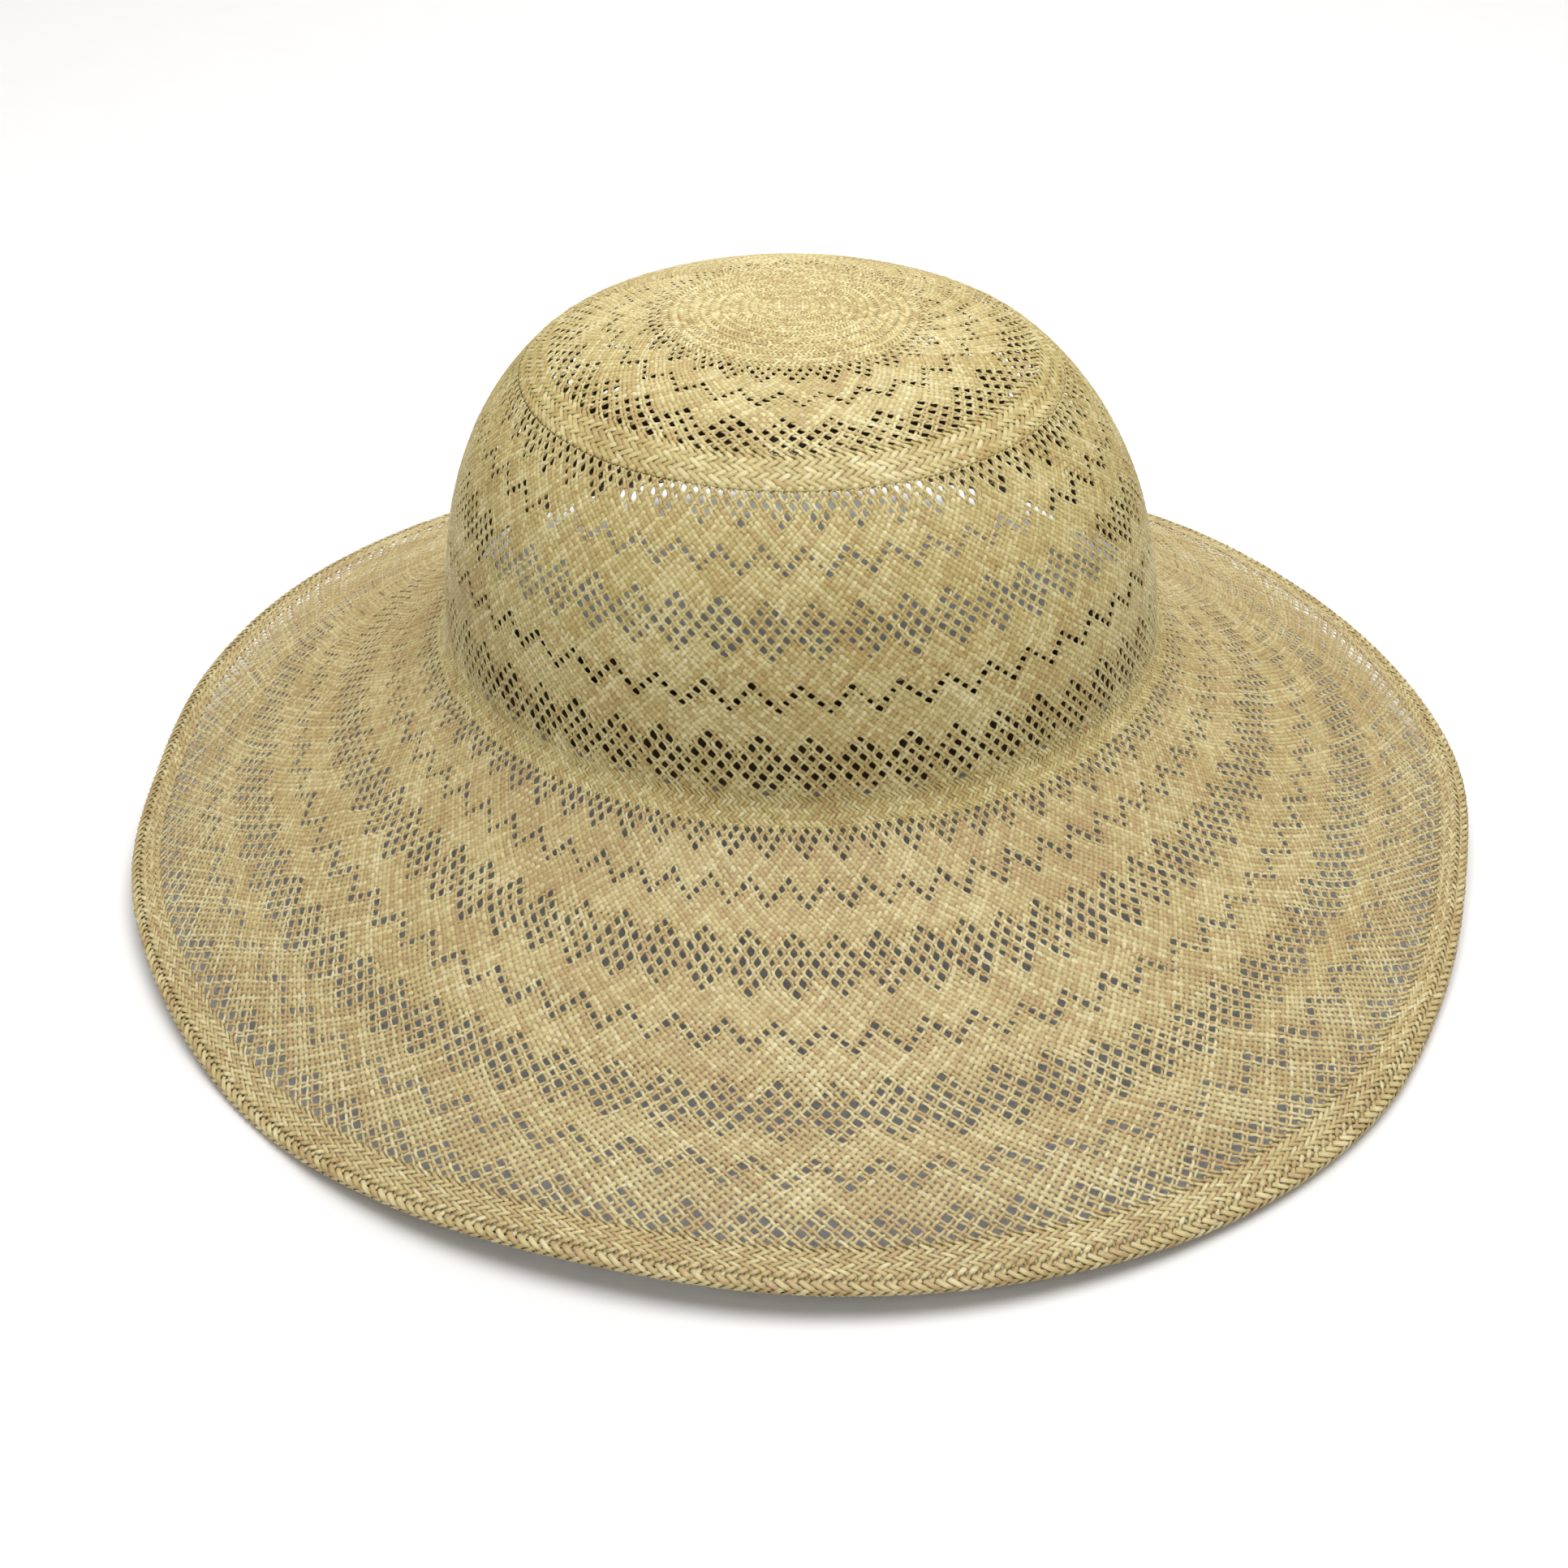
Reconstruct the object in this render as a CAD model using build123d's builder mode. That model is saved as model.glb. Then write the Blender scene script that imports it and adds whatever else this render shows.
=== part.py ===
from build123d import *
from math import sin, cos, radians, sqrt
import os

os.makedirs("parts", exist_ok=True)

# The straw: two crossing straws thick everywhere but at the edge
weave_thickness = 1.2

# The hat's outline runs from the centre of the crown down the side and out to the rim.
# Each zone of the weave is one arc of it: its length, and how far it bends down, in degrees.
button_length, button_bend = 34.0, 8.0
top_length, top_bend = 33.0, 21.0
shoulder_length, shoulder_bend = 8.6, 14.0
upper_side_length, upper_side_bend = 25.5, 19.0
middle_side_length, middle_side_bend = 17.5, 11.0
lower_side_length, lower_side_bend = 31.5, 11.5
base_length, base_bend = 8.0, -44.0
inner_brim_length, inner_brim_bend = 28.0, -6.5
middle_brim_length, middle_brim_bend = 33.0, -6.5
outer_brim_length, outer_brim_bend = 39.5, -6.5
rim_band_length, rim_band_bend = 6.6, -1.0

# Rolled edge, woven back on itself
edge_width = 4.0
edge_thickness = 2.8
edge_bevel = 0.8

# Sweatband inside the head opening
sweatband_thickness = 0.9
sweatband_height = 24.0
sweatband_rise = 3.2         # from the foot of the crown up to the band's straight wall
sweatband_gap = 0.5          # between the band's top edge and the straw
seam_height = 1.2            # the strip of the band that is sewn against the straw

# Stitches that hold the sweatband
stitch_count = 72
stitch_length = 3.6
stitch_thickness = 0.5
stitch_gap = 0.05

zones = {
    "crown_button": (button_length, button_bend),
    "crown_top_weave": (top_length, top_bend),
    "shoulder_band": (shoulder_length, shoulder_bend),
    "upper_side_weave": (upper_side_length, upper_side_bend),
    "middle_side_weave": (middle_side_length, middle_side_bend),
    "lower_side_weave": (lower_side_length, lower_side_bend),
    "crown_base_band": (base_length, base_bend),
    "inner_brim_weave": (inner_brim_length, inner_brim_bend),
    "middle_brim_weave": (middle_brim_length, middle_brim_bend),
    "outer_brim_weave": (outer_brim_length, outer_brim_bend),
    "rim_band": (rim_band_length, rim_band_bend),
}


def along(start, length, bend, share, depth=0.0):
    # Point a share of the way along an arc, and the slope there; depth is measured into the straw
    r, z, slope = start
    radius = length / radians(bend)
    a, b = radians(slope), radians(slope + bend * share)
    centre_r = r - radius * sin(a)
    centre_z = z - radius * cos(a)
    reach = radius - depth
    return (centre_r + reach * sin(b), centre_z + reach * cos(b)), slope + bend * share


# Walk down the outline once to find how far it drops, then place every zone from that height
starts = {}
place = (0.0, 0.0, 0.0)
for zone, (length, bend) in zones.items():
    starts[zone] = place
    (r, z), slope = along(place, length, bend, 1)
    place = (r, z, slope)
rim_r, rim_z, rim_slope = place

edge_centre_r = (rim_r + edge_width / 2 * cos(radians(rim_slope))
                 - weave_thickness / 2 * sin(radians(rim_slope)))
edge_centre_z = (rim_z - edge_width / 2 * sin(radians(rim_slope))
                 - weave_thickness / 2 * cos(radians(rim_slope)))
edge_reach = max(
    edge_width / 2 * sin(radians(rim_slope)) + (edge_thickness / 2 - edge_bevel) * cos(radians(rim_slope)),
    (edge_width / 2 - edge_bevel) * sin(radians(rim_slope)) + edge_thickness / 2 * cos(radians(rim_slope)),
)
hat_height = edge_reach - edge_centre_z
starts = {zone: (r, z + hat_height, slope) for zone, (r, z, slope) in starts.items()}
edge_centre_z += hat_height


def weave_section(zone):
    # Slice through one zone of the weave, between its outer and inner faces
    start, (length, bend) = starts[zone], zones[zone]
    outer = [along(start, length, bend, share)[0] for share in (0, 0.5, 1)]
    inner = [along(start, length, bend, share, weave_thickness)[0] for share in (1, 0.5, 0)]
    with BuildSketch(Plane.XZ) as section:
        with BuildLine():
            ThreePointArc(*outer)
            Line(outer[2], inner[0])
            ThreePointArc(*inner)
            Line(inner[2], outer[0])
        make_face()
    return section.sketch


with BuildPart() as crown_button:
    revolve(weave_section("crown_button"), axis=Axis.Z)

with BuildPart() as crown_top_weave:
    revolve(weave_section("crown_top_weave"), axis=Axis.Z)

with BuildPart() as shoulder_band:
    revolve(weave_section("shoulder_band"), axis=Axis.Z)

with BuildPart() as upper_side_weave:
    revolve(weave_section("upper_side_weave"), axis=Axis.Z)

with BuildPart() as middle_side_weave:
    revolve(weave_section("middle_side_weave"), axis=Axis.Z)

with BuildPart() as lower_side_weave:
    revolve(weave_section("lower_side_weave"), axis=Axis.Z)

with BuildPart() as crown_base_band:
    revolve(weave_section("crown_base_band"), axis=Axis.Z)

with BuildPart() as inner_brim_weave:
    revolve(weave_section("inner_brim_weave"), axis=Axis.Z)

with BuildPart() as middle_brim_weave:
    revolve(weave_section("middle_brim_weave"), axis=Axis.Z)

with BuildPart() as outer_brim_weave:
    revolve(weave_section("outer_brim_weave"), axis=Axis.Z)

with BuildPart() as rim_band:
    revolve(weave_section("rim_band"), axis=Axis.Z)

# The rolled edge meets the end of the rim band on its flat inner side
with BuildPart() as rolled_edge:
    with BuildSketch(Plane.XZ) as rolled_edge_section:
        with Locations(Location((edge_centre_r, edge_centre_z), -rim_slope)):
            Rectangle(edge_width, edge_thickness)
        chamfer(rolled_edge_section.vertices(), edge_bevel)
    revolve(axis=Axis.Z)

# Sweatband: an upright ribbon whose lower edge turns out to the straw at the foot of the crown
side_start = starts["lower_side_weave"]
side_radius = lower_side_length / radians(lower_side_bend)
side_centre_r = side_start[0] - side_radius * sin(radians(side_start[2]))
side_centre_z = side_start[1] - side_radius * cos(radians(side_start[2]))
foot_z = starts["crown_base_band"][1]


def inside_radius(z):
    # Inner face of the lower side of the crown at a height
    return side_centre_r + sqrt((side_radius - weave_thickness) ** 2 - (z - side_centre_z) ** 2)


band_bottom_z = foot_z + sweatband_rise
band_top_z = band_bottom_z + sweatband_height
band_outer_r = inside_radius(band_top_z) - sweatband_gap
band_inner_r = band_outer_r - sweatband_thickness
seam_low = (inside_radius(foot_z), foot_z)
seam_high = (inside_radius(foot_z + seam_height), foot_z + seam_height)

with BuildPart() as sweatband:
    with BuildSketch(Plane.XZ):
        with BuildLine():
            Polyline(
                (band_inner_r, band_top_z),
                (band_outer_r, band_top_z),
                (band_outer_r, band_bottom_z + sweatband_thickness),
                seam_high,
                seam_low,
                (band_inner_r, band_bottom_z),
                close=True,
            )
        make_face()
    revolve(axis=Axis.Z)

# Stitches lie round the band's turned-out edge, on the side that faces the head
flare = Vector(seam_low[0] - band_inner_r, 0, seam_low[1] - band_bottom_z)
flare_out = Vector(flare.Z, 0, -flare.X).normalized()
stitch_middle = Vector(band_inner_r, 0, band_bottom_z) + flare * 0.5
stitch_middle += flare_out * (stitch_thickness / 2 + stitch_gap)

with BuildPart() as sweatband_stitches:
    with Locations((0, 0, stitch_middle.Z)):
        with PolarLocations(stitch_middle.X, stitch_count):
            Cylinder(stitch_thickness / 2, stitch_length, rotation=(90, 0, 0))
    fillet(sweatband_stitches.edges().filter_by(GeomType.CIRCLE), stitch_thickness * 0.4)

crown_button.part.label = "crown_button"
crown_top_weave.part.label = "crown_top_weave"
shoulder_band.part.label = "shoulder_band"
upper_side_weave.part.label = "upper_side_weave"
middle_side_weave.part.label = "middle_side_weave"
lower_side_weave.part.label = "lower_side_weave"
crown_base_band.part.label = "crown_base_band"
inner_brim_weave.part.label = "inner_brim_weave"
middle_brim_weave.part.label = "middle_brim_weave"
outer_brim_weave.part.label = "outer_brim_weave"
rim_band.part.label = "rim_band"
rolled_edge.part.label = "rolled_edge"
sweatband.part.label = "sweatband"
sweatband_stitches.part.label = "sweatband_stitches"

export_step(crown_button.part, "parts/crown_button.step")
export_step(crown_top_weave.part, "parts/crown_top_weave.step")
export_step(shoulder_band.part, "parts/shoulder_band.step")
export_step(upper_side_weave.part, "parts/upper_side_weave.step")
export_step(middle_side_weave.part, "parts/middle_side_weave.step")
export_step(lower_side_weave.part, "parts/lower_side_weave.step")
export_step(crown_base_band.part, "parts/crown_base_band.step")
export_step(inner_brim_weave.part, "parts/inner_brim_weave.step")
export_step(middle_brim_weave.part, "parts/middle_brim_weave.step")
export_step(outer_brim_weave.part, "parts/outer_brim_weave.step")
export_step(rim_band.part, "parts/rim_band.step")
export_step(rolled_edge.part, "parts/rolled_edge.step")
export_step(sweatband.part, "parts/sweatband.step")
export_step(sweatband_stitches.part, "parts/sweatband_stitches.step")
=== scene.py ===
import bmesh
import bpy
from math import cos, pi, radians, sin, tau
from mathutils import Matrix, Vector
import numpy as np


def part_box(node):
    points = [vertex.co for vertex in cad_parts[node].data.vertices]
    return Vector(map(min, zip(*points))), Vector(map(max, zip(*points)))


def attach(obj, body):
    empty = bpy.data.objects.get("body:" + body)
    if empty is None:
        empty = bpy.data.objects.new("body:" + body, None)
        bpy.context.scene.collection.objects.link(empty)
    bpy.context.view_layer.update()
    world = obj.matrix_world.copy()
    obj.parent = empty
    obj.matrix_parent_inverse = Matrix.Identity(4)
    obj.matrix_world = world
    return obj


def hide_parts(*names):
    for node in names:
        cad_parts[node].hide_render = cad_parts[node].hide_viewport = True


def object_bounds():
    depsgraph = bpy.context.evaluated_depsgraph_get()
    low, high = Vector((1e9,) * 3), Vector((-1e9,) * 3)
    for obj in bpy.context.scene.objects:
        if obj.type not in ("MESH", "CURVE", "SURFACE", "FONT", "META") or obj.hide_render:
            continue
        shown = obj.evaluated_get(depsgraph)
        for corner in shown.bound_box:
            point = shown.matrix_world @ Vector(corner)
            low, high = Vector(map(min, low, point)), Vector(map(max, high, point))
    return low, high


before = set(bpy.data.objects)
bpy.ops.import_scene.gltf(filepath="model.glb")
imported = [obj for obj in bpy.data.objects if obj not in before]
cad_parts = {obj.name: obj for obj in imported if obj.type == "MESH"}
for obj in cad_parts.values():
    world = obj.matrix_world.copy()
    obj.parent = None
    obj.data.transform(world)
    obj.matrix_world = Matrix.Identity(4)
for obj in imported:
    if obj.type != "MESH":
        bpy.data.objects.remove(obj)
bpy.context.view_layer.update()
mm = 0.001
rng = np.random.default_rng(11)


def linear(hexColour, alpha=1.0):
    channels = [int(hexColour[i:i + 2], 16) / 255 for i in (1, 3, 5)]
    return (*[c / 12.92 if c <= 0.04045 else ((c + 0.055) / 1.055) ** 2.4 for c in channels], alpha)


def addNode(tree, kind, settings=None, links=None, values=None):
    # settings are the node's own, links are input -> output socket, values are input -> number
    node = tree.nodes.new(kind)
    for key, value in (settings or {}).items():
        setattr(node, key, value)
    for key, value in (values or {}).items():
        node.inputs[key].default_value = value
    for key, socket in (links or {}).items():
        tree.links.new(socket, node.inputs[key])
    return node


def newMaterial(name):
    material = bpy.data.materials.new(name)
    material.use_nodes = True
    material.node_tree.nodes.clear()
    return material, material.node_tree


def rampColours(node, stops):
    ramp = node.color_ramp
    ramp.elements[0].position, ramp.elements[0].color = stops[0][0], linear(stops[0][1])
    ramp.elements[1].position, ramp.elements[1].color = stops[-1][0], linear(stops[-1][1])
    for position, colour in stops[1:-1]:
        ramp.elements.new(position).color = linear(colour)


def meshObject(name, bm, material):
    mesh = bpy.data.meshes.new(name)
    bm.to_mesh(mesh)
    bm.free()
    mesh.materials.append(material)
    piece = bpy.data.objects.new(name, mesh)
    bpy.context.collection.objects.link(piece)
    return piece


def readPoints(mesh):
    points = np.empty(len(mesh.vertices) * 3)
    mesh.vertices.foreach_get("co", points)
    return points.reshape(-1, 3)


def movePoints(mesh, points):
    mesh.vertices.foreach_set("co", np.ascontiguousarray(points).ravel())
    mesh.polygons.foreach_set("use_smooth", np.ones(len(mesh.polygons), bool))
    mesh.update()


def cornerPoints(mesh):
    # the point that each face corner stands on
    points = np.empty(len(mesh.loops), int)
    mesh.loops.foreach_get("vertex_index", points)
    return points


# outline of the hat, from the top centre out to the rim, lengths in mm
outline = {
    # length, and bend in degrees, of each zone
    "zones": [(34.0, 8.0), (33.0, 21.0), (8.6, 14.0), (25.5, 19.0), (17.5, 11.0), (31.5, 11.5),
              (8.0, -44.0), (28.0, -6.5), (33.0, -6.5), (39.5, -6.5), (6.6, -1.0),
              (2.5, 0.0), (4.4, 178.0), (3.0, -3.0)],  # the last three fold the edge under
    "step": 0.1,
    "brimStart": 158.0,  # the brim starts to wave here
    "brimEnd": 268.0,  # and waves in full here
    "waveGrowth": 1.5, "waveLimit": 1.1,
    # at every 15 degrees round the hat from -180, the front being -90:
    # how far the rim sits above its even height, and beyond its even radius
    "rise": [-1.2, -2.7, -5.3, -9.0, -4.7, -2.4, -3.1, -4.6, -7.3, -7.8, -7.4, -3.8,
             -1.0, 0.3, 1.7, 3.0, 2.8, 2.1, 1.7, 1.8, 2.5, 3.2, 3.0, 1.0],
    "reach": [-5.4, -3.6, -3.5, -2.2, -0.3, 0.3, 2.4, 3.4, 3.0, 1.3, -3.5, -5.0,
              -0.8, 0.5, 1.1, 1.5, 0.9, 0.2, -0.2, -0.1, 0.4, 1.1, 0.3, -2.1],
    "fuller": [(0, 0.0), (34, 0.1), (67, 1.4), (90, 1.4), (120, 1.3), (158, 0.0)],  # run, and how far out
    "leanX": -3.1, "leanY": 2.3, "leanLength": 100,  # the crown leans a little over its side
}


def buildOutline(top):
    # walk along the zones and note run, radius, height and slope every step
    rows, radius, height, slope, run = [], 0.0, top, 0.0, 0.0
    for length, bend in outline["zones"]:
        steps = round(length / outline["step"])
        for _ in range(steps):
            rows.append((run, radius, height, slope))
            middle = radians(slope + bend / steps / 2)
            radius += outline["step"] * cos(middle)
            height -= outline["step"] * sin(middle)
            slope += bend / steps
            run += outline["step"]
    rows.append((run, radius, height, slope))
    return np.array(rows).T


outRun, outRadius, outHeight, outSlope = buildOutline(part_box("crown_button")[1].z / mm)


def radiusAt(run):
    return np.interp(run, outRun, outRadius)


def roundHat(values, angle):
    # smooth value at an angle, from the list of values every 15 degrees
    place = (angle / radians(15) + 12) % 24
    before = np.floor(place).astype(int)
    share = place - before
    v = np.array(values)
    a, b, c, d = v[before - 1], v[before % 24], v[(before + 1) % 24], v[(before + 2) % 24]
    bend = 2 * a - 5 * b + 4 * c - d + share * (3 * (b - c) + d - a)
    return b + 0.5 * share * (c - a + share * bend)


def onHat(run, angle, lift):
    # point on the hat at a run along the outline, an angle round it and a lift off its outer face
    slope = np.radians(np.interp(run, outRun, outSlope))
    lift = lift + np.interp(run, *np.array(outline["fuller"]).T)
    brim = (run - outline["brimStart"]) / (outline["brimEnd"] - outline["brimStart"])
    brim = np.clip(brim, 0, outline["waveLimit"]) ** outline["waveGrowth"]
    radius = radiusAt(run) + lift * np.sin(slope) + brim * roundHat(outline["reach"], angle)
    height = np.interp(run, outRun, outHeight) + lift * np.cos(slope)
    height = height + brim * roundHat(outline["rise"], angle)
    crown = np.clip((outline["brimStart"] - run) / outline["leanLength"], 0, 1)
    crown = crown * crown * (3 - 2 * crown)
    return np.stack([radius * np.cos(angle) + crown * outline["leanX"],
                     radius * np.sin(angle) + crown * outline["leanY"], height], -1) * mm


# how straws lie in the weave, lengths in mm
weave = {
    "depth": 0.62,  # the middle of the cloth, under the outline
    "lift": 0.21,  # a straw's way up or down at a crossing
    "crown": 0.14,  # how far a straw's middle stands above the cloth's middle
    "edge": -0.10,  # and its two edges
    # run, share of its room that a straw takes there, and the widest it lies
    "fill": [(0, 0.98, 1.32), (150, 0.98, 1.34), (158, 0.97, 1.30), (205, 0.95, 1.26), (235, 0.85, 1.12),
             (257, 0.81, 1.06), (260, 0.84, 1.12), (264, 0.86, 1.12), (268, 0.95, 1.38), (275, 0.95, 1.38)],
    "widths": (0.07, 0.78, 1.15),  # spread of the straws' own widths, and the least and the most
    "narrowest": 0.45,
    "holePush": 0.315,  # how far straws move off an opening, in straw steps
    "holeReach": 0.60,  # and how far away that is felt
    "holeStep": 2.15,  # straw step above which openings stop growing
    "holeMost": 1.12,
    "holeSizes": (0.20, 0.35, 1.4),  # spread of their sizes, and the least and the most
    "pinch": 0.45, "pinchReach": 1.25,  # how much narrower straws get beside an opening, and how soon
    "skew": 0.10,  # lean of the whole lattice
    "wander": 0.32,  # slow unevenness of handwork
    "calm": 6,  # rows at each end over which the wandering dies away
    "slip": 0.05,  # small sideways shifts of rows and straws
    "uneven": 0.03,  # and in height
    "crossing": 0.25,  # half the length of a flat crossing, in rows
}

# each lattice has its own straw count. rows are (row, run), and openings sit on even rows.
# holes are (kind, first row, column, and for outerBorder its count of rows).
# twill is the first and last row of each herringbone ring
lattices = {
    "top": {
        "straws": 168,
        "rows": [(-1, 34.0), (0, 34.9), (2, 37.0), (4, 39.0), (6, 40.7), (12, 45.2), (18, 49.8), (24, 55.0),
                 (26, 57.0), (28, 59.0), (30, 61.0), (32, 63.1), (34, 65.2), (35, 66.1), (45, 74.9),
                 (46, 75.7)],
        "holes": [("innerBorder", 0, 0), ("zigzag", 12, 3), ("outerBorder", 24, 3, 6)],
        "twill": [(35, 45)],
    },
    "side": {
        "straws": 300,
        "rows": [(-1, 75.5), (0, 76.6), (2, 79.2), (4, 81.8), (6, 84.2), (12, 89.8), (18, 95.1), (26, 102.4),
                 (38, 114.8), (46, 122.0), (52, 127.8), (60, 135.4), (72, 150.4), (73, 151.2)],
        "holes": [("innerBorder", 0, 0), ("zigzag", 12, 3), ("diamonds", 26, 3), ("zigzag", 46, 0),
                  ("diamonds", 60, 0)],
        "twill": [],
    },
    "brim": {
        "straws": 450,
        "rows": [(-12, 150.6), (-11, 151.3), (-1, 157.9), (0, 158.7), (2, 161.0), (4, 163.2), (6, 165.3),
                 (12, 171.6), (18, 177.5), (26, 185.0), (38, 199.3), (46, 207.1), (52, 213.2), (60, 220.7),
                 (72, 233.9), (78, 238.9), (84, 244.6), (90, 250.7), (92, 252.9), (94, 255.4), (96, 257.5),
                 (97, 258.5), (107, 264.3), (109, 266.6), (111, 268.9), (113, 271.1), (115, 273.2),
                 (116, 274.2)],
        "holes": [("innerBorder", 0, 0), ("zigzag", 12, 3), ("diamonds", 26, 3), ("zigzag", 46, 0),
                  ("diamonds", 60, 0), ("zigzag", 78, 3), ("outerBorder", 90, 3, 4)],
        "twill": [(97, 117), (-11, -1)],
    },
}


def holeCells(lattice):
    # even row -> six columns of one motif, 1 where there is an opening
    cells = {}
    for kind, first, column, *rest in lattice["holes"]:
        count = {"innerBorder": 4, "zigzag": 4, "diamonds": 7, "outerBorder": rest[0] if rest else 0}[kind]
        for k in range(count):
            steps = []
            for c in range(6):
                far = min((c - column) % 6, (column - c) % 6)
                if kind == "innerBorder":
                    isHole = far <= 3 - k and (far + 3 - k) % 2 == 0
                elif kind == "zigzag":
                    isHole = far == k
                elif kind == "diamonds":
                    isHole = far <= min(k, 6 - k) and (far + k) % 2 == 0
                else:
                    isHole = far <= k and (far + k) % 2 == 0
                steps.append(float(isHole))
            cells[first + 2 * k] = steps
    return cells


def upAt(lattice, row):
    # +1 where the right leaning straws pass over, -1 where the left leaning ones do
    up = np.where(row % 2 == 0, 1.0, -1.0)
    for first, last in lattice["twill"]:
        inside = (row >= first) & (row < last)
        up = np.where(inside, np.where(((row - first) // 2) % 2 == 0, 1.0, -1.0), up)
    return up


for lattice in lattices.values():
    rowsFirst, rowsLast = lattice["rows"][0][0], lattice["rows"][-1][0]
    lattice["cells"] = holeCells(lattice)
    lattice["fine"] = np.arange(rowsFirst - 2, rowsLast + 3, 0.25)
    # nine quarter rows together soften the changes of pitch between rows
    runs = np.interp(lattice["fine"], *np.array(lattice["rows"]).T)
    padded = np.pad(runs, 4, mode="reflect", reflect_type="odd")
    lattice["runs"] = np.convolve(padded, np.ones(9) / 9, mode="valid")
    drift = weave["skew"] * np.gradient(lattice["runs"]) / radiusAt(lattice["runs"])
    lattice["drift"] = np.cumsum(drift)
    # opening sizes differ from one to the next
    spread, least, most = weave["holeSizes"]
    sizes = rng.normal(1.0, spread, (rowsLast - rowsFirst + 8, lattice["straws"]))
    lattice["sizes"] = sizes.clip(least, most)
    # each wave: turns round the hat, pace along it, and two starts
    lattice["waves"] = [(rng.integers(2, 24), rng.uniform(0.01, 0.08), rng.uniform(0, tau),
                         rng.uniform(0, tau)) for _ in range(10)]
print("lattices ready")


def wander(lattice, angle, run):
    # slow unevenness, sideways and along the outline
    side = along = 0.0
    for turns, pace, first, second in lattice["waves"]:
        side = side + np.sin(turns * angle + pace * 6 * run + first)
        along = along + np.sin(turns * angle - pace * 5 * run + second)
    size = weave["wander"] / len(lattice["waves"]) ** 0.5
    return side * size, along * size


def openingShift(lattice, column, row):
    # how straws at these places move away from the openings near them, and how near those are
    straws = lattice["straws"]
    step = tau * radiusAt(np.interp(row, lattice["fine"], lattice["runs"])) / straws
    scale = np.minimum(weave["holeMost"], weave["holeStep"] / step)  # openings don't grow with the rim
    moveColumn, moveRow, near = np.zeros(row.shape), np.zeros(row.shape), np.zeros(row.shape)
    base = 2 * np.round(row / 2).astype(int)
    lowest, highest = min(lattice["cells"]), max(lattice["cells"])
    table = np.zeros(((highest - lowest) // 2 + 1, 6))
    for key, steps in lattice["cells"].items():
        table[(key - lowest) // 2] = steps
    for rowStep in (-2, 0, 2):
        holeRow = base + rowStep
        known = (holeRow >= lowest) & (holeRow <= highest)
        index = np.clip((holeRow - lowest) // 2, 0, len(table) - 1)
        for columnStep in (-1, 0, 1, 2):
            cell = np.floor(column).astype(int) + columnStep
            isOpen = table[index, cell % 6] * known
            size = lattice["sizes"][index, cell % straws]
            across = column - (cell + 0.5)
            down = (row - holeRow) / 2
            far = np.sqrt(across ** 2 + down ** 2) + 1e-6
            push = isOpen * size * scale * np.exp(-(far / weave["holeReach"]) ** 2)
            moveColumn += weave["holePush"] * push * across / far
            moveRow += 2 * weave["holePush"] * push * down / far
            near += push
    return moveColumn, moveRow, near


strawLook = {
    # cream, straw, green straw, tan and a pinkish tan
    "crown": ["#F6ECBC", "#E8D79B", "#D2BF7D", "#C2A565", "#C8A776"],
    "brim": ["#F4EABF", "#E6D59F", "#D2BE83", "#C1A46D", "#C7A97B"],
    "stops": [0.0, 0.30, 0.55, 0.80, 1.0],
    # what decides the shade: the straw's own tone, patches about 18 mm wide and flecks about 2.4 mm wide
    "own": 0.74, "patches": 0.55, "flecks": 0.35, "start": -0.30,
    "patchScale": 55.0, "fleckScale": 420.0,  # per metre
    "fibresAcross": 9.0, "fibresAlong": 0.35, "fibre": 0.26,
    "uvApart": 3.7,  # each straw reads its own stretch of the fibres
    "roughness": (0.30, 0.60),
    "glow": 0.02,  # the little light that passes through the leaf
    # painted shade, as shares of the full colour: a straw's two edges, between the straws; where it dips
    # under a crossing straw; and its back, so the inside of the hat looks shaded
    "edges": 0.72, "dips": 0.80, "back": 0.32,
}


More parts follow.
